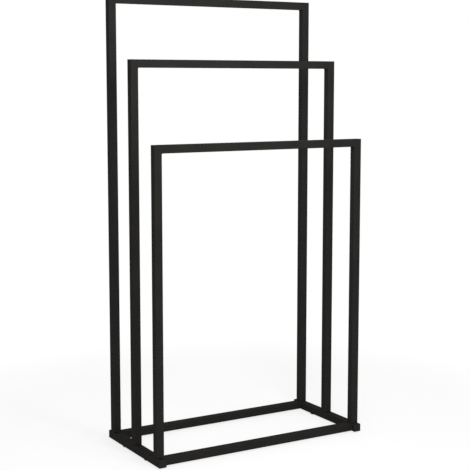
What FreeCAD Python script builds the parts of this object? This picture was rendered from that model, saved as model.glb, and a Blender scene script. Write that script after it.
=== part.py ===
import FreeCAD, Part
import os

from FreeCAD import Vector

# Free-standing towel stand: three stepped hoops of square tube, bolted on top of a welded base frame.
# Millimetres. +X is to the right, +Y to the back, +Z up. The origin is on the floor, at the
# footprint's centre, and the front hoop is the lowest one.

# Overall sizes
WIDTH = 450.0                 # over the outer faces of the posts and side rails
FRONT_BAR_TOP = 585.5         # floor to the top face of each towel bar
MIDDLE_BAR_TOP = 736.5
REAR_BAR_TOP = 857.0
HOOP_PITCH = 92.0             # centre plane of one hoop to the next
RAIL_OVERHANG = 9.5           # side rail past the front and rear posts, with its end cap

# Square tube, the same stock for posts, bars and rails
TUBE = 15.0
WALL = 1.0
TUBE_OUTER_RADIUS = 1.0
TUBE_INNER_RADIUS = 0.4

# Foot glide: a round foot with a stem that snaps into the rail's lower wall
GLIDE_DIAMETER = 12.0
GLIDE_HEIGHT = 2.5
GLIDE_EDGE_RADIUS = 0.5
GLIDE_STEM_DIAMETER = 6.4
GLIDE_RIB_PROUD = 0.5         # snap rib past the stem, on each side
GLIDE_RIB_HEIGHT = 0.8
GLIDE_TIP_LENGTH = 2.4        # stem above the snap rib
GLIDE_PLAY = 0.05             # stem to hole, and rib to wall

# End cap: a square flange with a hollow plug that fills the rail's end
CAP_FLANGE = 1.5
CAP_EDGE_RADIUS = 0.4
CAP_PLUG_WALL = 1.5
CAP_PLAY = 0.1                # plug to the tube's inner faces

# Threaded plug in each post's lower end
INSERT_HEIGHT = 12.0
INSERT_PLAY = 0.05            # plug to the tube's inner faces

# Button-head screw that holds each post, with its washer
THREAD_DIAMETER = 6.0
THREAD_PLAY = 0.02
SCREW_LENGTH = 12.0           # under the head
SCREW_TIP_CHAMFER = 0.6
SCREW_HEAD_DIAMETER = 10.5
SCREW_HEAD_HEIGHT = 3.3
SCREW_HEAD_ROUNDING = 2.0
SOCKET_WIDTH = 4.0            # across the flats of the hexagon
SOCKET_DEPTH = 2.0
WASHER_DIAMETER = 11.0
WASHER_THICKNESS = 1.6
WASHER_PLAY = 0.2             # washer bore to the screw
SCREW_HOLE_PLAY = 0.25        # hole in the rail's upper wall to the screw
ACCESS_HOLE_PLAY = 0.25       # hole in the rail's lower wall to the washer that goes in through it

# Places that follow from these sizes
BORE = TUBE - 2 * WALL                        # inner width of the tube
RAIL_BOTTOM = GLIDE_HEIGHT
RAIL_TOP = RAIL_BOTTOM + TUBE
RAIL_MIDDLE = RAIL_BOTTOM + TUBE / 2
SIDE_X = (WIDTH - TUBE) / 2                   # centreline of the side rails and posts
RAIL_END = HOOP_PITCH + TUBE / 2 + RAIL_OVERHANG
GLIDE_Y = HOOP_PITCH / 2                      # midway between two posts
LOWER_WALL_TOP = RAIL_BOTTOM + WALL
UPPER_WALL_BOTTOM = RAIL_TOP - WALL
HOOPS = {
    "front": (-HOOP_PITCH, FRONT_BAR_TOP),
    "middle": (0.0, MIDDLE_BAR_TOP),
    "rear": (HOOP_PITCH, REAR_BAR_TOP),
}
SIDES = {"left": -1, "right": 1}
ENDS = {"front": -1, "rear": 1}


def square_bar(width, radius, length):
    """A square bar with rounded long edges that stands on z = 0, centred on the Z axis."""
    bar = Part.makeBox(width, width, length, Vector(-width / 2, -width / 2, 0))
    upright = [edge for edge in bar.Edges if abs(edge.tangentAt(edge.FirstParameter).z) > 0.9]
    return bar.makeFillet(radius, upright)


def square_tube(length):
    """A length of the tube stock that stands on z = 0, centred on the Z axis."""
    outer = square_bar(TUBE, TUBE_OUTER_RADIUS, length)
    inner = square_bar(BORE, TUBE_INNER_RADIUS, length)
    return outer.cut(inner)


def laid(shape, start, direction):
    """The shape with its foot moved to start and its Z axis turned to direction."""
    placed = shape.copy()
    placed.Placement = FreeCAD.Placement(start, FreeCAD.Rotation(Vector(0, 0, 1), direction))
    return placed


def cylinder(diameter, x, y, low, high):
    """An upright cylinder between two heights."""
    return Part.makeCylinder(diameter / 2, high - low, Vector(x, y, low))


def round_edges(shape, radius, height):
    """Rounds the edges of a shape that lie at one height."""
    chosen = [edge for edge in shape.Edges
              if abs(edge.BoundBox.ZMin - height) < 1e-6 and abs(edge.BoundBox.ZMax - height) < 1e-6]
    return shape.makeFillet(radius, chosen)


def mitre_block(y, top, side, facing):
    """A block that starts at the 45 degree plane through a hoop's outer top corner."""
    reach = 2 * TUBE
    block = Part.makeBox(2 * reach, 2 * reach, reach, Vector(-reach, -reach, 0))
    corner = Vector(side * WIDTH / 2, y, top)
    return laid(block, corner, Vector(-side * facing, 0, facing))


def post(y, top, side):
    """An upright tube from the side rail's upper face to the mitre at the top corner."""
    tube = laid(square_tube(top - RAIL_TOP), Vector(side * SIDE_X, y, RAIL_TOP), Vector(0, 0, 1))
    return tube.cut(mitre_block(y, top, side, 1))


def towel_bar(y, top):
    """The level tube at the top of a hoop, mitred at both ends."""
    bar = laid(square_tube(WIDTH), Vector(-WIDTH / 2, y, top - TUBE / 2), Vector(1, 0, 0))
    for side in SIDES.values():
        bar = bar.cut(mitre_block(y, top, side, -1))
    return bar


def base_rail(side):
    """A side rail, with its screw, access and glide holes."""
    x = side * SIDE_X
    length = 2 * (RAIL_END - CAP_FLANGE)
    rail = laid(square_tube(length), Vector(x, -length / 2, RAIL_MIDDLE), Vector(0, 1, 0))
    screw_hole = THREAD_DIAMETER + 2 * SCREW_HOLE_PLAY
    access_hole = WASHER_DIAMETER + 2 * ACCESS_HOLE_PLAY
    for y, top in HOOPS.values():
        rail = rail.cut(cylinder(screw_hole, x, y, RAIL_MIDDLE, RAIL_TOP + WALL))
        rail = rail.cut(cylinder(access_hole, x, y, RAIL_BOTTOM - WALL, RAIL_MIDDLE))
    glide_hole = GLIDE_STEM_DIAMETER + 2 * GLIDE_PLAY
    for end in ENDS.values():
        rail = rail.cut(cylinder(glide_hole, x, end * GLIDE_Y, RAIL_BOTTOM - WALL, RAIL_MIDDLE))
    return rail


def cross_rail(end):
    """A level tube between the inner faces of the side rails, under the front or rear hoop."""
    length = WIDTH - 2 * TUBE
    return laid(square_tube(length), Vector(-length / 2, end * HOOP_PITCH, RAIL_MIDDLE), Vector(1, 0, 0))


def end_cap(side, end):
    """A cap on a side rail's end: its plug reaches in as far as the face of the nearest post."""
    plug_width = BORE - 2 * CAP_PLAY
    plug_depth = RAIL_OVERHANG - CAP_FLANGE
    flange = square_bar(TUBE, TUBE_OUTER_RADIUS, CAP_FLANGE)
    flange = round_edges(flange, CAP_EDGE_RADIUS, 0)
    plug = laid(square_bar(plug_width, TUBE_INNER_RADIUS, plug_depth), Vector(0, 0, CAP_FLANGE), Vector(0, 0, 1))
    hollow = laid(square_bar(plug_width - 2 * CAP_PLUG_WALL, TUBE_INNER_RADIUS, plug_depth),
                  Vector(0, 0, CAP_FLANGE), Vector(0, 0, 1))
    cap = flange.fuse(plug.cut(hollow))
    return laid(cap, Vector(side * SIDE_X, end * RAIL_END, RAIL_MIDDLE), Vector(0, -end, 0))


def foot_glide(side, end):
    """A round foot under a side rail, with a stem and a snap rib above the rail's lower wall."""
    x = side * SIDE_X
    y = end * GLIDE_Y
    rib_bottom = LOWER_WALL_TOP + GLIDE_PLAY
    rib_top = rib_bottom + GLIDE_RIB_HEIGHT
    head = round_edges(cylinder(GLIDE_DIAMETER, x, y, 0, GLIDE_HEIGHT), GLIDE_EDGE_RADIUS, 0)
    stem = cylinder(GLIDE_STEM_DIAMETER, x, y, GLIDE_HEIGHT, rib_top + GLIDE_TIP_LENGTH)
    rib = cylinder(GLIDE_STEM_DIAMETER + 2 * GLIDE_RIB_PROUD, x, y, rib_bottom, rib_top)
    return head.fuse(stem).fuse(rib)


def post_insert(y, side):
    """A threaded square plug in a post's lower end, level with the end of the tube."""
    x = side * SIDE_X
    plug = square_bar(BORE - 2 * INSERT_PLAY, TUBE_INNER_RADIUS, INSERT_HEIGHT)
    plug = laid(plug, Vector(x, y, RAIL_TOP), Vector(0, 0, 1))
    return plug.cut(cylinder(THREAD_DIAMETER, x, y, RAIL_TOP, RAIL_TOP + INSERT_HEIGHT))


def post_washer(y, side):
    """The washer between a screw head and the upper wall of the side rail."""
    x = side * SIDE_X
    low = UPPER_WALL_BOTTOM - WASHER_THICKNESS
    disc = cylinder(WASHER_DIAMETER, x, y, low, UPPER_WALL_BOTTOM)
    return disc.cut(cylinder(THREAD_DIAMETER + 2 * WASHER_PLAY, x, y, low, UPPER_WALL_BOTTOM))


def hexagon(x, y, low, high):
    """The hexagon socket's space between two heights."""
    corner = SOCKET_WIDTH / 3 ** 0.5
    points = [Vector(x + corner, y, low)]
    turn = FreeCAD.Rotation(Vector(0, 0, 1), 60)
    for _ in range(6):
        spoke = turn.multVec(points[-1] - Vector(x, y, low))
        points.append(Vector(x, y, low) + spoke)
    return Part.Face(Part.makePolygon(points)).extrude(Vector(0, 0, high - low))


def post_bolt(y, side):
    """A button-head screw that comes up through the side rail into a post's threaded plug."""
    x = side * SIDE_X
    seat = UPPER_WALL_BOTTOM - WASHER_THICKNESS
    head_bottom = seat - SCREW_HEAD_HEIGHT
    tip = seat + SCREW_LENGTH
    head = round_edges(cylinder(SCREW_HEAD_DIAMETER, x, y, head_bottom, seat), SCREW_HEAD_ROUNDING, head_bottom)
    shank = cylinder(THREAD_DIAMETER - 2 * THREAD_PLAY, x, y, seat, tip)
    tip_edges = [edge for edge in shank.Edges if abs(edge.BoundBox.ZMin - tip) < 1e-6]
    shank = shank.makeChamfer(SCREW_TIP_CHAMFER, tip_edges)
    return head.fuse(shank).cut(hexagon(x, y, head_bottom, head_bottom + SOCKET_DEPTH))


def stand():
    """Every piece of the stand, by its name."""
    pieces = {}
    for end_name, end in ENDS.items():
        pieces[f"{end_name}_cross_rail"] = cross_rail(end)
    for side_name, side in SIDES.items():
        pieces[f"{side_name}_base_rail"] = base_rail(side)
        for end_name, end in ENDS.items():
            pieces[f"{side_name}_{end_name}_end_cap"] = end_cap(side, end)
            pieces[f"{side_name}_{end_name}_foot_glide"] = foot_glide(side, end)
    for hoop_name, (y, top) in HOOPS.items():
        pieces[f"{hoop_name}_towel_bar"] = towel_bar(y, top)
        for side_name, side in SIDES.items():
            pieces[f"{hoop_name}_{side_name}_post"] = post(y, top, side)
            pieces[f"{hoop_name}_{side_name}_post_insert"] = post_insert(y, side)
            pieces[f"{hoop_name}_{side_name}_post_washer"] = post_washer(y, side)
            pieces[f"{hoop_name}_{side_name}_post_bolt"] = post_bolt(y, side)
    return pieces


os.makedirs("parts", exist_ok=True)
for name, shape in stand().items():
    solids = shape.Solids
    if len(solids) != 1 or not solids[0].isValid():
        raise ValueError(f"{name} is not one valid solid")
    solids[0].exportStep(f"parts/{name}.step")
    print(f"{name}: {solids[0].Volume:.1f} mm3")
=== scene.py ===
import math

import bpy
from mathutils import Euler, Matrix, Vector


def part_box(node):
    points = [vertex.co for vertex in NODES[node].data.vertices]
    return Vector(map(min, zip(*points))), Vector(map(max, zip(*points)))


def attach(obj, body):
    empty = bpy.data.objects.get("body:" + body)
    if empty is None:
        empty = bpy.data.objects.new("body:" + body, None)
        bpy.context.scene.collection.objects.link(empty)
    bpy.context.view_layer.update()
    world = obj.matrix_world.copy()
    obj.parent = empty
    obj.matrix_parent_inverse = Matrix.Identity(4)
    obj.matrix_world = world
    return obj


# The looks of a free-standing towel stand: black powder-coated square tube, moulded end caps,
# rubber foot glides and zinc-plated screws. Metres, in the same frame as the solids.

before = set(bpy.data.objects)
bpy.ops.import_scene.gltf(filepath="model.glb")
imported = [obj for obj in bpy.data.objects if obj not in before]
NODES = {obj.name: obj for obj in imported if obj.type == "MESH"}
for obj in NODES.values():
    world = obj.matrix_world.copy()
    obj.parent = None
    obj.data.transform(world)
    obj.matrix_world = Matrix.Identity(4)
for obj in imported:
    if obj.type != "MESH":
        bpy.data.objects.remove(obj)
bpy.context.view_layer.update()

MM = 0.001
HOOPS = ("front", "middle", "rear")
SIDES = {"left": -1, "right": 1}    # each with its way along X
ENDS = ("front", "rear")
FITTINGS = ("insert", "washer", "bolt")

# The tube, and the weld beads in its inside corners
HALF_TUBE = 7.5 * MM
BEAD_LENGTH = 12.4 * MM
BEAD_RADIUS = 1.5 * MM
BEAD_STANDS_OUT = 0.5 * MM    # from the corner of the joint to the middle of the bead
BEAD_SIDES = 14
BEAD_FLATNESS = 0.68          # its thickness, as a share of its width
BEAD_RIPPLES = 10

# Sizes of the bead's rings, as shares of its radius
RIPPLE_CREST = 1.0
RIPPLE_DIP = 0.86
FIRST_RINGS = (0.45, 0.84)
LAST_RINGS = (0.88, 0.40)

# Joint lines in the coat. The lines at the posts' feet and at the caps are the coat's break darkened with
# painted shade of the gap
SEAM_WIDTH = 0.5 * MM
SEAM_WAVER = 0.35 * MM
SHOULDER_REACH = 4.0          # seam widths from the seam's middle
FOOT_SHADE_LINE = 1.5 * MM
CAP_SHADE_LINE = 0.6 * MM
LINE_WAVER = 0.17             # as a share of the line's width
LINE_FADE = (0.25, 1.0)       # shares of the line's width between which it fades out

# Finishes, as linear colours
COAT_BLACK = (0.0168, 0.0162, 0.0148, 1)
COAT_BLACK_WARM = (0.0212, 0.0202, 0.0180, 1)
# The coat's raised grain peaks: painted highlight, lighter as if they catch the light
PAINTED_GRAIN_HIGHLIGHT = (0.0300, 0.0292, 0.0274, 1)
COAT_EDGE = (0.0380, 0.0372, 0.0350, 1)
DUST_GREY = (0.16, 0.15, 0.135, 1)
SEAM_BLACK = (0.010, 0.0097, 0.0090, 1)
# The dark of the lines at the posts' feet and at the caps: painted shade of the gap where the coat breaks
PAINTED_JOINT_SHADE = (0.005, 0.0048, 0.0045, 1)
CAP_BLACK = (0.0180, 0.0176, 0.0166, 1)
# The cap's raised grain: painted highlight
CAP_PAINTED_GRAIN_HIGHLIGHT = (0.0240, 0.0235, 0.0225, 1)
RUBBER_BLACK = (0.016, 0.016, 0.016, 1)
RUBBER_GREY = (0.034, 0.033, 0.031, 1)
ZINC = (0.58, 0.59, 0.60, 1)
ZINC_YELLOWED = (0.50, 0.48, 0.42, 1)
FLOOR_WHITE = (0.86, 0.86, 0.86, 1)
BACKDROP_WHITE = (1, 1, 1, 1)

# Grain, relief, roughness and gloss of each finish. A relief is the height of the bumps and their strength,
# and a roughness goes from the first value to the second with the mottle.
COAT_GRAIN = {"Grain Size": 0.70 * MM, "Peel Size": 2.6 * MM}
COAT_RELIEF = (0.12 * MM, 0.6)
COAT_ROUGHNESS = (0.86, 0.94)
COAT_GLOSS = 0.04
CAP_GRAIN = {"Grain Size": 0.30 * MM, "Peel Size": 1.1 * MM}
CAP_RELIEF = (0.05 * MM, 0.6)
CAP_ROUGHNESS = (0.74, 0.84)
CAP_GLOSS = 0.06
RUBBER_GRAIN = {"Grain Size": 0.25 * MM, "Peel Size": 0.9 * MM}
RUBBER_RELIEF = (0.05 * MM, 0.5)
RUBBER_ROUGHNESS = (0.74, 0.88)
RUBBER_GLOSS = 0.35
SCUFF_HEIGHT = 1.6 * MM       # above the floor
SCUFF_LEAST = 0.3
ZINC_GRAIN = {"Grain Size": 0.20 * MM, "Peel Size": 1.6 * MM}
ZINC_RELIEF = (0.02 * MM, 0.4)
ZINC_ROUGHNESS = (0.26, 0.42)
FLOOR_ROUGHNESS = 0.9

# Patterns: waves per metre, and the values of the noise between which a pattern goes from 0 to 1
GRAIN_RAMP = (0.30, 0.72)
GRAIN_SHARE = 0.4             # of the relief, where the waves make up the rest
MOTTLE_RATE = 22.0
MOTTLE_RAMP = (0.35, 0.68)
WEAR_RATE = 70.0
WEAR_RAMP = (0.36, 0.66)
WEAR_LEAST = 0.25
CLUMP_RATE = 260.0
CLUMP_RAMP = (0.38, 0.72)
CLUMP_LEAST = 0.3
DRIFT_RATE = 9.0
DRIFT_RAMP = (0.30, 0.75)
DRIFT_LEAST = 0.4
SEAM_WAVER_RATE = 500.0
LINE_WAVER_RATE = 420.0

# How much of each effect the coat shows: as a share of its colour, as roughness taken away, and as
# height, in shares of the coat's relief
# The painted highlight on the grain's raised peaks
GRAIN_HIGHLIGHT_SHOWS = 0.45
EDGE_SHOWS = 0.4
EDGE_SMOOTHER = 0.12
SEAM_SHOWS = 0.6
SEAM_CUT = 1.6
SHOULDER_SMOOTHER = 0.10
SHOULDER_RISE = 1.2
# Painted shade of the gap at the posts' feet and the caps, and the depth of that sunken line
JOINT_SHADE_SHOWS = 0.75
JOINT_CUT = 1.2
DUST_AMOUNT = 0.03
# The painted highlight on the cap's raised grain
CAP_GRAIN_HIGHLIGHT_SHOWS = 0.7

# The tube's edges, from its middle, and how far up a face has to point to hold dust
EDGE_ZONE = (HALF_TUBE - 1.1 * MM, HALF_TUBE - 0.25 * MM)
FACES_UP = (0.55, 0.98)

# Light on the stand from the world, at the height of the stand and from overhead
WALL_LIGHT = 1.15
CEILING_LIGHT = 0.0

# Soft lights, with the side of each in metres
SOFTBOXES = {
    "upper_softbox": {"place": (-0.10, -0.5, 1.05), "target": (0, 0.09, 0.85), "size": 0.3, "watts": 2.8},
    "lower_softbox": {"place": (-0.30, -1.4, 0.5), "target": (0, 0, 0.4), "size": 0.8, "watts": 6.5},
}

# What the camera sees of the floor near the stand: this share of it is a white glow of this strength,
# and the rest is the floor's own shading, with the stand's shadow
GLOW_SHARE = 0.5
GLOW_STRENGTH = 1.5
FLOOR_NEAR = 0.5              # metres from the stand's middle
FLOOR_FAR = 1.6               # from here on all of it is plain white
FLOOR_SIDE = 40               # metres

# Where the photograph was taken from
CAMERA_PLACE = Vector((-1.1396, -1.9214, 0.6979))
CAMERA_YAW = 30.631           # degrees, to the right of straight back
CAMERA_PITCH = 6.885          # degrees, downwards
CAMERA_LENS = 88.90           # on a 36 mm wide sensor
CAMERA_SHIFT_Y = -0.03
CAMERA_SEES_TO = 100          # metres


# ---- Effects that several finishes share ----

def effect(name, vectors, numbers, results):
    """An empty shader node group with the named inputs, and results that are all numbers. Returns it
    with its input and output nodes."""
    group = bpy.data.node_groups.new(name, "ShaderNodeTree")
    for label in vectors:
        group.interface.new_socket(label, in_out="INPUT", socket_type="NodeSocketVector")
    for label in numbers:
        group.interface.new_socket(label, in_out="INPUT", socket_type="NodeSocketFloat")
    for label in results:
        group.interface.new_socket(label, in_out="OUTPUT", socket_type="NodeSocketFloat")
    return group, group.nodes.new("NodeGroupInput"), group.nodes.new("NodeGroupOutput")


def maths(tree, operation, first, second=None, third=None, clamp=False):
    """A Math node. Each value is a socket or a number."""
    node = tree.nodes.new("ShaderNodeMath")
    node.operation = operation
    node.use_clamp = clamp
    for socket, value in zip(node.inputs, (first, second, third)):
        if isinstance(value, bpy.types.NodeSocket):
            tree.links.new(value, socket)
        elif value is not None:
            socket.default_value = value
    return node.outputs[0]


def split(tree, vector):
    """A vector's X, Y and Z."""
    node = tree.nodes.new("ShaderNodeSeparateXYZ")
    tree.links.new(vector, node.inputs[0])
    return node.outputs["X"], node.outputs["Y"], node.outputs["Z"]


def noise(tree, place, scale, detail=2.0, roughness=0.5):
    """A Noise Texture's value at a place. The scale is a socket or a number, in waves per metre."""
    node = tree.nodes.new("ShaderNodeTexNoise")
    node.inputs["Detail"].default_value = detail
    node.inputs["Roughness"].default_value = roughness
    tree.links.new(place, node.inputs["Vector"])
    if isinstance(scale, bpy.types.NodeSocket):
        tree.links.new(scale, node.inputs["Scale"])
    else:
        node.inputs["Scale"].default_value = scale
    return node.outputs["Fac"]


def ramp(tree, value, low, high):
    """0 below low, 1 above high, and smooth between them."""
    node = tree.nodes.new("ShaderNodeMapRange")
    node.interpolation_type = "SMOOTHSTEP"
    node.inputs["From Min"].default_value = low
    node.inputs["From Max"].default_value = high
    tree.links.new(value, node.inputs["Value"])
    return node.outputs["Result"]


def spread(tree, value, low, high):
    """A value of 0 to 1 spread from low to high."""
    return maths(tree, "MULTIPLY_ADD", value, high - low, low)


def make_powder_grain():
    """A fine grain over the shallow waves called orange peel, and a broad mottle."""
    group, given, made = effect(
        "powder grain", vectors=["Place"], numbers=["Grain Size", "Peel Size"],
        results=["Height", "Grain", "Mottle"])
    place = given.outputs["Place"]
    per_grain = maths(group, "DIVIDE", 1.0, given.outputs["Grain Size"])
    per_wave = maths(group, "DIVIDE", 1.0, given.outputs["Peel Size"])
    grain = ramp(group, noise(group, place, per_grain, detail=1.0), *GRAIN_RAMP)
    peel = noise(group, place, per_wave, detail=1.0)
    height = maths(group, "ADD", maths(group, "MULTIPLY", grain, GRAIN_SHARE),
                   maths(group, "MULTIPLY", peel, 1 - GRAIN_SHARE))
    mottle = ramp(group, noise(group, place, MOTTLE_RATE, detail=4.0, roughness=0.6), *MOTTLE_RAMP)
    group.links.new(height, made.inputs["Height"])
    group.links.new(grain, made.inputs["Grain"])
    group.links.new(mottle, made.inputs["Mottle"])
    return group


def make_tube_edge():
    """The long edges of a square tube, where the coat draws thin and hands rub it. Across and Through
    are the distances from the tube's middle along its two sides."""
    group, given, made = effect(
        "tube edge", vectors=["Place"], numbers=["Across", "Through"], results=["Edge"])
    across = maths(group, "ABSOLUTE", given.outputs["Across"])
    through = maths(group, "ABSOLUTE", given.outputs["Through"])
    near = ramp(group, maths(group, "MINIMUM", across, through), *EDGE_ZONE)
    patches = noise(group, given.outputs["Place"], WEAR_RATE, detail=4.0, roughness=0.65)
    wear = spread(group, ramp(group, patches, *WEAR_RAMP), WEAR_LEAST, 1.0)
    group.links.new(maths(group, "MULTIPLY", near, wear), made.inputs["Edge"])
    return group


def make_mitre_seam():
    """The ground and coated weld along the 45 degree joint at a hoop's top corners. Corner Drop is the
    height of the hoop less half its width."""
    group, given, made = effect(
        "mitre seam", vectors=["Place"], numbers=["Corner Drop", "Seam Width"],
        results=["Seam", "Shoulder"])
    place, width = given.outputs["Place"], given.outputs["Seam Width"]
    x, _, z = split(group, place)
    across = maths(group, "SUBTRACT", maths(group, "SUBTRACT", z, maths(group, "ABSOLUTE", x)),
                   given.outputs["Corner Drop"])
    waver = spread(group, noise(group, place, SEAM_WAVER_RATE), -SEAM_WAVER, SEAM_WAVER)
    away = maths(group, "ABSOLUTE", maths(group, "ADD", across, waver))
    seam = maths(group, "SUBTRACT", 1.0, maths(group, "DIVIDE", away, width), clamp=True)
    reach = maths(group, "MULTIPLY", width, SHOULDER_REACH)
    shoulder = maths(group, "SUBTRACT", 1.0, maths(group, "DIVIDE", away, reach), clamp=True)
    group.links.new(seam, made.inputs["Seam"])
    group.links.new(shoulder, made.inputs["Shoulder"])
    return group


def make_joint_shade_line():
    """The line where one piece meets another and the coat breaks, darkened with painted shade of the gap,
    given the distance from there.
    """
    group, given, made = effect(
        "joint shade line", vectors=["Place"], numbers=["Distance", "Width"], results=["Line"])
    away = maths(group, "DIVIDE", given.outputs["Distance"], given.outputs["Width"])
    waver = spread(group, noise(group, given.outputs["Place"], LINE_WAVER_RATE), -LINE_WAVER, LINE_WAVER)
    clear = ramp(group, maths(group, "ADD", away, waver), *LINE_FADE)
    group.links.new(maths(group, "SUBTRACT", 1.0, clear), made.inputs["Line"])
    return group


def make_settled_dust():
    """A thin film of dust on what faces up, gathered in fine clumps and in broad drifts."""
    group, given, made = effect(
        "settled dust", vectors=["Place", "Normal"], numbers=["Amount"], results=["Dust"])
    place = given.outputs["Place"]
    upward = ramp(group, split(group, given.outputs["Normal"])[2], *FACES_UP)
    clumps = ramp(group, noise(group, place, CLUMP_RATE, detail=5.0, roughness=0.7), *CLUMP_RAMP)
    drift = ramp(group, noise(group, place, DRIFT_RATE), *DRIFT_RAMP)
    film = maths(group, "MULTIPLY", upward, spread(group, clumps, CLUMP_LEAST, 1.0))
    film = maths(group, "MULTIPLY", film, spread(group, drift, DRIFT_LEAST, 1.0))
    dust = maths(group, "MULTIPLY", film, given.outputs["Amount"], clamp=True)
    group.links.new(dust, made.inputs["Dust"])
    return group


POWDER_GRAIN = make_powder_grain()
TUBE_EDGE = make_tube_edge()
MITRE_SEAM = make_mitre_seam()
JOINT_SHADE_LINE = make_joint_shade_line()
SETTLED_DUST = make_settled_dust()


# ---- Finishes ----

def finish_tree(name):
    """A new material. Returns it with its node tree, its shader and its Object coordinates."""
    material = bpy.data.materials.new(name)
    material.use_nodes = True
    tree = material.node_tree
    shader = tree.nodes["Principled BSDF"]
    place = tree.nodes.new("ShaderNodeTexCoord").outputs["Object"]
    return material, tree, shader, place


def placed_effect(tree, group, values):
    """An effect in a material. Each value is a socket or a number."""
    node = tree.nodes.new("ShaderNodeGroup")
    node.node_tree = group
    for label, value in values.items():
        if isinstance(value, bpy.types.NodeSocket):
            tree.links.new(value, node.inputs[label])
        else:
            node.inputs[label].default_value = value
    return node.outputs


def blended(tree, mask, first, second):
    """The first colour where the mask is 0 and the second where it is 1. Each is a socket or a colour."""
    node = tree.nodes.new("ShaderNodeMix")
    node.data_type = "RGBA"
    tree.links.new(mask, node.inputs["Factor"])
    for socket, colour in ((node.inputs[6], first), (node.inputs[7], second)):
        if isinstance(colour, bpy.types.NodeSocket):
            tree.links.new(colour, socket)
        else:
            socket.default_value = colour
    return node.outputs[2]


def bumped(tree, shader, height, distance, strength):
    """Turns a height into the shader's normal. The distance is the height of 1, in metres."""
    bump = tree.nodes.new("ShaderNodeBump")
    bump.inputs["Distance"].default_value = distance
    bump.inputs["Strength"].default_value = strength
    tree.links.new(height, bump.inputs["Height"])
    tree.links.new(bump.outputs["Normal"], shader.inputs["Normal"])


def hoop_section(hoop):
    """How far a place is from the middle of the hoop's tube, across it and through it."""
    low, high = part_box(f"{hoop}_towel_bar")
    side, top, depth = high.x - HALF_TUBE, high.z - HALF_TUBE, (low.y + high.y) / 2

    def section(tree, place):
        x, y, z = split(tree, place)
        beside = maths(tree, "SUBTRACT", maths(tree, "ABSOLUTE", x), side)
        above = maths(tree, "SUBTRACT", z, top)
        return maths(tree, "MAXIMUM", beside, above), maths(tree, "SUBTRACT", y, depth)

    return section


def rail_section(rail, axis):
    """How far a place is from the middle of a pair of base rails, given the axis on which they differ."""
    low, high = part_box(rail)
    index = "XYZ".index(axis)
    aside, level = max(abs(low[index]), abs(high[index])) - HALF_TUBE, (low.z + high.z) / 2

    def section(tree, place):
        places = split(tree, place)
        across = maths(tree, "SUBTRACT", maths(tree, "ABSOLUTE", places[index]), aside)
        return across, maths(tree, "SUBTRACT", places[2], level)

    return section


def foot_joint_shade(hoop):
    """How far a place on a hoop is above the rails that its posts stand on, and the width of the line of
    painted shade there.
    """
    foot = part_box(f"{hoop}_left_post")[0].z
    return lambda tree, place: maths(tree, "SUBTRACT", split(tree, place)[2], foot), FOOT_SHADE_LINE


def cap_joint_shade(rail):
    """How far a place on a side rail is from the cap at its nearer end, and the width of the line of
    painted shade there.
    """
    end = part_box(rail)[1].y

    def distance(tree, place):
        return maths(tree, "SUBTRACT", end, maths(tree, "ABSOLUTE", split(tree, place)[1]))

    return distance, CAP_SHADE_LINE


def worn_edges(tree, place, section, colour, rough):
    """The coat along the tube's edges, paler and smoother."""
    across, through = section(tree, place)
    edge = placed_effect(tree, TUBE_EDGE, {"Place": place, "Across": across, "Through": through})["Edge"]
    colour = blended(tree, maths(tree, "MULTIPLY", edge, EDGE_SHOWS), colour, COAT_EDGE)
    return colour, maths(tree, "SUBTRACT", rough, maths(tree, "MULTIPLY", edge, EDGE_SMOOTHER))


def mitre_welds(tree, place, corner_drop, colour, rough, height):
    """The coat over a hoop's mitre welds: a dark seam sunk in a raised and smoother shoulder."""
    weld = placed_effect(
        tree, MITRE_SEAM, {"Place": place, "Corner Drop": corner_drop, "Seam Width": SEAM_WIDTH})
    colour = blended(tree, maths(tree, "MULTIPLY", weld["Seam"], SEAM_SHOWS), colour, SEAM_BLACK)
    rough = maths(tree, "SUBTRACT", rough, maths(tree, "MULTIPLY", weld["Shoulder"], SHOULDER_SMOOTHER))
    height = maths(tree, "ADD", height, maths(tree, "MULTIPLY", weld["Shoulder"], SHOULDER_RISE))
    height = maths(tree, "SUBTRACT", height, maths(tree, "MULTIPLY", weld["Seam"], SEAM_CUT))
    return colour, rough, height


def broken_coat_and_shade(tree, place, joint, colour, height):
    """The coat where the tube meets another piece: a sunken line where the coat breaks, darkened with
    painted shade of the gap.
    """
    distance, width = joint
    line = placed_effect(
        tree, JOINT_SHADE_LINE, {"Place": place, "Distance": distance(tree, place), "Width": width})["Line"]
    colour = blended(tree, maths(tree, "MULTIPLY", line, JOINT_SHADE_SHOWS), colour, PAINTED_JOINT_SHADE)
    return colour, maths(tree, "SUBTRACT", height, maths(tree, "MULTIPLY", line, JOINT_CUT))


def dusted(tree, place, colour):
    """The coat under a trace of dust."""
    normal = tree.nodes.new("ShaderNodeNewGeometry").outputs["Normal"]
    dust = placed_effect(tree, SETTLED_DUST, {"Place": place, "Normal": normal, "Amount": DUST_AMOUNT})
    return blended(tree, dust["Dust"], colour, DUST_GREY)


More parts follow.
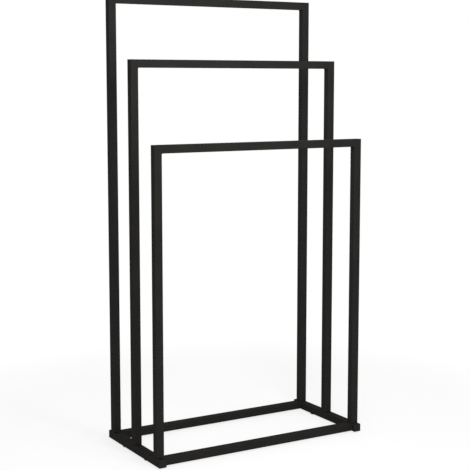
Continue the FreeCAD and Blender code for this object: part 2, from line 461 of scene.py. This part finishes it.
def powder_coat(name, section=None, corner_drop=None, joint=None):
    """Matte black powder coat on steel tube. The section finds the tube's edges, the corner drop the
    mitre welds of a hoop, and the joint the ends that meet another piece, darkened there with painted
    shade."""
    material, tree, shader, place = finish_tree(name)
    grain = placed_effect(tree, POWDER_GRAIN, {"Place": place, **COAT_GRAIN})
    colour = blended(tree, grain["Mottle"], COAT_BLACK, COAT_BLACK_WARM)
    # The raised grain is painted lighter, as a highlight where its peaks would catch the light
    colour = blended(tree, maths(tree, "MULTIPLY", grain["Grain"], GRAIN_HIGHLIGHT_SHOWS), colour, PAINTED_GRAIN_HIGHLIGHT)
    rough = spread(tree, grain["Mottle"], *COAT_ROUGHNESS)
    height = grain["Height"]
    if section is not None:
        colour, rough = worn_edges(tree, place, section, colour, rough)
    if corner_drop is not None:
        colour, rough, height = mitre_welds(tree, place, corner_drop, colour, rough, height)
    if joint is not None:
        # A sunken line where the tube meets another piece, darkened with painted shade
        colour, height = broken_coat_and_shade(tree, place, joint, colour, height)
    tree.links.new(dusted(tree, place, colour), shader.inputs["Base Color"])
    tree.links.new(rough, shader.inputs["Roughness"])
    shader.inputs["Specular IOR Level"].default_value = COAT_GLOSS
    bumped(tree, shader, height, *COAT_RELIEF)
    return material


def moulded_cap(name):
    """Black moulded plastic with a fine spark-eroded texture, its raised grain painted lighter as a
    highlight.
    """
    material, tree, shader, place = finish_tree(name)
    grain = placed_effect(tree, POWDER_GRAIN, {"Place": place, **CAP_GRAIN})
    # Painted highlight on the cap's raised grain
    grain_highlight = maths(tree, "MULTIPLY", grain["Grain"], CAP_GRAIN_HIGHLIGHT_SHOWS)
    tree.links.new(blended(tree, grain_highlight, CAP_BLACK, CAP_PAINTED_GRAIN_HIGHLIGHT), shader.inputs["Base Color"])
    tree.links.new(spread(tree, grain["Mottle"], *CAP_ROUGHNESS), shader.inputs["Roughness"])
    shader.inputs["Specular IOR Level"].default_value = CAP_GLOSS
    bumped(tree, shader, grain["Height"], *CAP_RELIEF)
    return material


def glide_rubber(name):
    """Dark rubber, scuffed lighter where it touches the floor."""
    material, tree, shader, place = finish_tree(name)
    grain = placed_effect(tree, POWDER_GRAIN, {"Place": place, **RUBBER_GRAIN})
    low = maths(tree, "SUBTRACT", 1.0, ramp(tree, split(tree, place)[2], 0.0, SCUFF_HEIGHT))
    scuff = maths(tree, "MULTIPLY", low, spread(tree, grain["Mottle"], SCUFF_LEAST, 1.0))
    tree.links.new(blended(tree, scuff, RUBBER_BLACK, RUBBER_GREY), shader.inputs["Base Color"])
    tree.links.new(spread(tree, grain["Mottle"], *RUBBER_ROUGHNESS), shader.inputs["Roughness"])
    shader.inputs["Specular IOR Level"].default_value = RUBBER_GLOSS
    bumped(tree, shader, grain["Height"], *RUBBER_RELIEF)
    return material


def zinc_plate(name):
    """Bright zinc plating with the faint yellow of its passivation."""
    material, tree, shader, place = finish_tree(name)
    grain = placed_effect(tree, POWDER_GRAIN, {"Place": place, **ZINC_GRAIN})
    tree.links.new(blended(tree, grain["Mottle"], ZINC, ZINC_YELLOWED), shader.inputs["Base Color"])
    tree.links.new(spread(tree, grain["Mottle"], *ZINC_ROUGHNESS), shader.inputs["Roughness"])
    shader.inputs["Metallic"].default_value = 1.0
    bumped(tree, shader, grain["Height"], *ZINC_RELIEF)
    return material


def dress(node_name, material):
    """Gives a solid its finish."""
    materials = NODES[node_name].data.materials
    materials.clear()
    materials.append(material)


def dress_base():
    """Gives the base rails, their caps and the foot glides their finishes."""
    cross_coat = powder_coat("black_powder_coat_cross_rails", rail_section("rear_cross_rail", "Y"))
    side_coat = powder_coat("black_powder_coat_side_rails", rail_section("right_base_rail", "X"),
                            joint=cap_joint_shade("right_base_rail"))
    cap = moulded_cap("black_moulded_cap")
    rubber = glide_rubber("foot_glide_rubber")
    for end in ENDS:
        dress(f"{end}_cross_rail", cross_coat)
    for side in SIDES:
        dress(f"{side}_base_rail", side_coat)
        for end in ENDS:
            dress(f"{side}_{end}_end_cap", cap)
            dress(f"{side}_{end}_foot_glide", rubber)


def dress_hoops():
    """Gives the bars, the posts and what fastens them their finishes."""
    zinc = zinc_plate("zinc_plate")
    for hoop in HOOPS:
        low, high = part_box(f"{hoop}_towel_bar")
        coat = powder_coat(
            f"black_powder_coat_{hoop}_hoop", hoop_section(hoop), high.z - high.x, foot_joint_shade(hoop))
        dress(f"{hoop}_towel_bar", coat)
        for side in SIDES:
            dress(f"{hoop}_{side}_post", coat)
            for fitting in FITTINGS:
                dress(f"{hoop}_{side}_post_{fitting}", zinc)


# ---- Weld beads in the inside corners ----

def bead_rings():
    """The sizes of the bead's rings from end to end."""
    rings = [RIPPLE_CREST if ring % 2 else RIPPLE_DIP for ring in range(2 * BEAD_RIPPLES + 1)]
    rings[:2] = FIRST_RINGS
    rings[-2:] = LAST_RINGS
    return rings


def model_bead():
    """One rippled bead of weld, lying along Z round the origin and flattened along X."""
    bpy.ops.object.select_all(action="DESELECT")
    rings = bead_rings()
    start, step = -BEAD_LENGTH / 2, BEAD_LENGTH / (len(rings) - 1)
    bpy.ops.mesh.primitive_circle_add(
        vertices=BEAD_SIDES, radius=BEAD_RADIUS * rings[0], fill_type="NGON", location=(0, 0, start))
    bead = bpy.context.object
    bpy.ops.object.transform_apply(location=True, rotation=True, scale=True)
    bpy.ops.object.mode_set(mode="EDIT")
    bpy.ops.mesh.select_all(action="SELECT")
    for ring in range(1, len(rings)):
        change = rings[ring] / rings[ring - 1]
        middle = (0, 0, start + ring * step)
        bpy.ops.mesh.extrude_region_move(TRANSFORM_OT_translate={"value": (0, 0, step)})
        bpy.ops.transform.resize(value=(change, change, 1), center_override=middle)
    bpy.ops.mesh.select_all(action="SELECT")
    bpy.ops.transform.resize(value=(BEAD_FLATNESS, 1, 1), center_override=(0, 0, 0))
    bpy.ops.mesh.normals_make_consistent(inside=False)
    bpy.ops.object.mode_set(mode="OBJECT")
    bpy.ops.object.shade_smooth()
    return bead


def lay_bead(bead, name, corner, out, along, coat):
    """A copy of the bead in a corner, given the way out of the corner and the way along it."""
    bpy.ops.object.select_all(action="DESELECT")
    copy = bead.copy()
    copy.data = bead.data.copy()
    copy.name = copy.data.name = name
    bpy.context.collection.objects.link(copy)
    out, along = Vector(out).normalized(), Vector(along)
    across = along.cross(out)
    turn = Matrix((out, across, along)).transposed().to_4x4()
    copy.matrix_world = Matrix.Translation(Vector(corner) + out * BEAD_STANDS_OUT) @ turn
    copy.select_set(True)
    bpy.context.view_layer.objects.active = copy
    bpy.ops.object.transform_apply(location=True, rotation=True, scale=True)
    copy.data.materials.append(coat)
    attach(copy, "root")


def weld_hoops(bead, coat):
    """The beads under the towel bars, where they meet the posts."""
    for hoop in HOOPS:
        low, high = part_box(f"{hoop}_towel_bar")
        for side, way in SIDES.items():
            corner = (way * (high.x - 2 * HALF_TUBE), (low.y + high.y) / 2, low.z)
            out, along = (-way, 0, -1), (0, way, 0)
            lay_bead(bead, f"{hoop}_{side}_corner_weld", corner, out, along, coat)


def weld_cross_rails(bead, coat):
    """The upright beads before and behind the ends of the cross rails."""
    for end in ENDS:
        low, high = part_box(f"{end}_cross_rail")
        for side, way in SIDES.items():
            for face, y, ahead in (("front", low.y, -1), ("rear", high.y, 1)):
                corner = (way * high.x, y, (low.z + high.z) / 2)
                out, along = (-way, ahead, 0), (0, 0, way * ahead)
                lay_bead(bead, f"{end}_cross_rail_{side}_{face}_weld", corner, out, along, coat)


def weld_stand():
    """Lays a copy of the bead in every corner, and takes the bead itself away."""
    coat = powder_coat("black_powder_coat_welds")
    bead = model_bead()
    weld_hoops(bead, coat)
    weld_cross_rails(bead, coat)
    bpy.data.objects.remove(bead, do_unlink=True)


# ---- Floor, light and camera ----

def background_rays(tree):
    """1 for the rays that show the background: what the camera sees, and mirror and see-through rays."""
    rays = tree.nodes.new("ShaderNodeLightPath").outputs
    shown = maths(tree, "MAXIMUM", rays["Is Camera Ray"], rays["Is Glossy Ray"])
    return maths(tree, "MAXIMUM", shown, rays["Is Transmission Ray"])


def floor_finish():
    """Matte white that glows in the camera's view, in part near the stand and all of it further out."""
    material, tree, shader, place = finish_tree("studio_floor_white")
    shader.inputs["Base Color"].default_value = FLOOR_WHITE
    shader.inputs["Roughness"].default_value = FLOOR_ROUGHNESS
    shader.inputs["Specular IOR Level"].default_value = 0.0
    away = tree.nodes.new("ShaderNodeVectorMath")
    away.operation = "LENGTH"
    tree.links.new(place, away.inputs[0])
    far = ramp(tree, away.outputs["Value"], FLOOR_NEAR, FLOOR_FAR)
    glow = tree.nodes.new("ShaderNodeEmission")
    glow.inputs["Color"].default_value = BACKDROP_WHITE
    tree.links.new(spread(tree, far, GLOW_STRENGTH, 1.0), glow.inputs["Strength"])
    share = maths(tree, "MULTIPLY", background_rays(tree), spread(tree, far, GLOW_SHARE, 1.0))
    mix = tree.nodes.new("ShaderNodeMixShader")
    tree.links.new(share, mix.inputs["Fac"])
    tree.links.new(shader.outputs["BSDF"], mix.inputs[1])
    tree.links.new(glow.outputs["Emission"], mix.inputs[2])
    tree.links.new(mix.outputs["Shader"], tree.nodes["Material Output"].inputs["Surface"])
    return material


def lay_floor():
    """A plain pale floor that keeps a soft shadow of the stand."""
    bpy.ops.object.select_all(action="DESELECT")
    bpy.ops.mesh.primitive_plane_add(size=FLOOR_SIDE)
    floor = bpy.context.object
    floor.name = "studio_floor"
    floor.data.materials.append(floor_finish())


def light_world():
    """A background of strength 1, which shows as white. The light that it gives the stand comes mostly
    from the sides, as from studio walls, and fades out overhead."""
    world = bpy.data.worlds.new("studio_white")
    bpy.context.scene.world = world
    world.use_nodes = True
    tree = world.node_tree
    background = tree.nodes["Background"]
    background.inputs["Color"].default_value = BACKDROP_WHITE
    height = split(tree, tree.nodes.new("ShaderNodeTexCoord").outputs["Generated"])[2]
    on_stand = spread(tree, maths(tree, "ABSOLUTE", height), WALL_LIGHT, CEILING_LIGHT)
    to_white = maths(tree, "SUBTRACT", 1.0, on_stand)
    strength = maths(tree, "MULTIPLY_ADD", background_rays(tree), to_white, on_stand)
    tree.links.new(strength, background.inputs["Strength"])


def hang_softbox(name, place, target, size, watts):
    """A square soft light that faces a target."""
    bpy.ops.object.select_all(action="DESELECT")
    bpy.ops.object.light_add(type="AREA", location=place)
    light = bpy.context.object
    light.name = name
    light.rotation_euler = (Vector(target) - Vector(place)).to_track_quat("-Z", "Y").to_euler()
    light.data.shape = "SQUARE"
    light.data.size = size
    light.data.energy = watts


def set_camera():
    """A camera at the photograph's place, with its lens and framing."""
    bpy.ops.object.select_all(action="DESELECT")
    turn = Euler((math.radians(90 - CAMERA_PITCH), 0, -math.radians(CAMERA_YAW)))
    bpy.ops.object.camera_add(location=CAMERA_PLACE, rotation=turn)
    camera = bpy.context.object
    camera.name = "photo_camera"
    camera.data.lens = CAMERA_LENS
    camera.data.shift_y = CAMERA_SHIFT_Y
    camera.data.clip_end = CAMERA_SEES_TO
    bpy.context.scene.camera = camera


dress_base()
dress_hoops()
weld_stand()
lay_floor()
light_world()
for softbox_name, softbox in SOFTBOXES.items():
    hang_softbox(softbox_name, **softbox)
set_camera()
bpy.context.scene.view_settings.view_transform = "Standard"
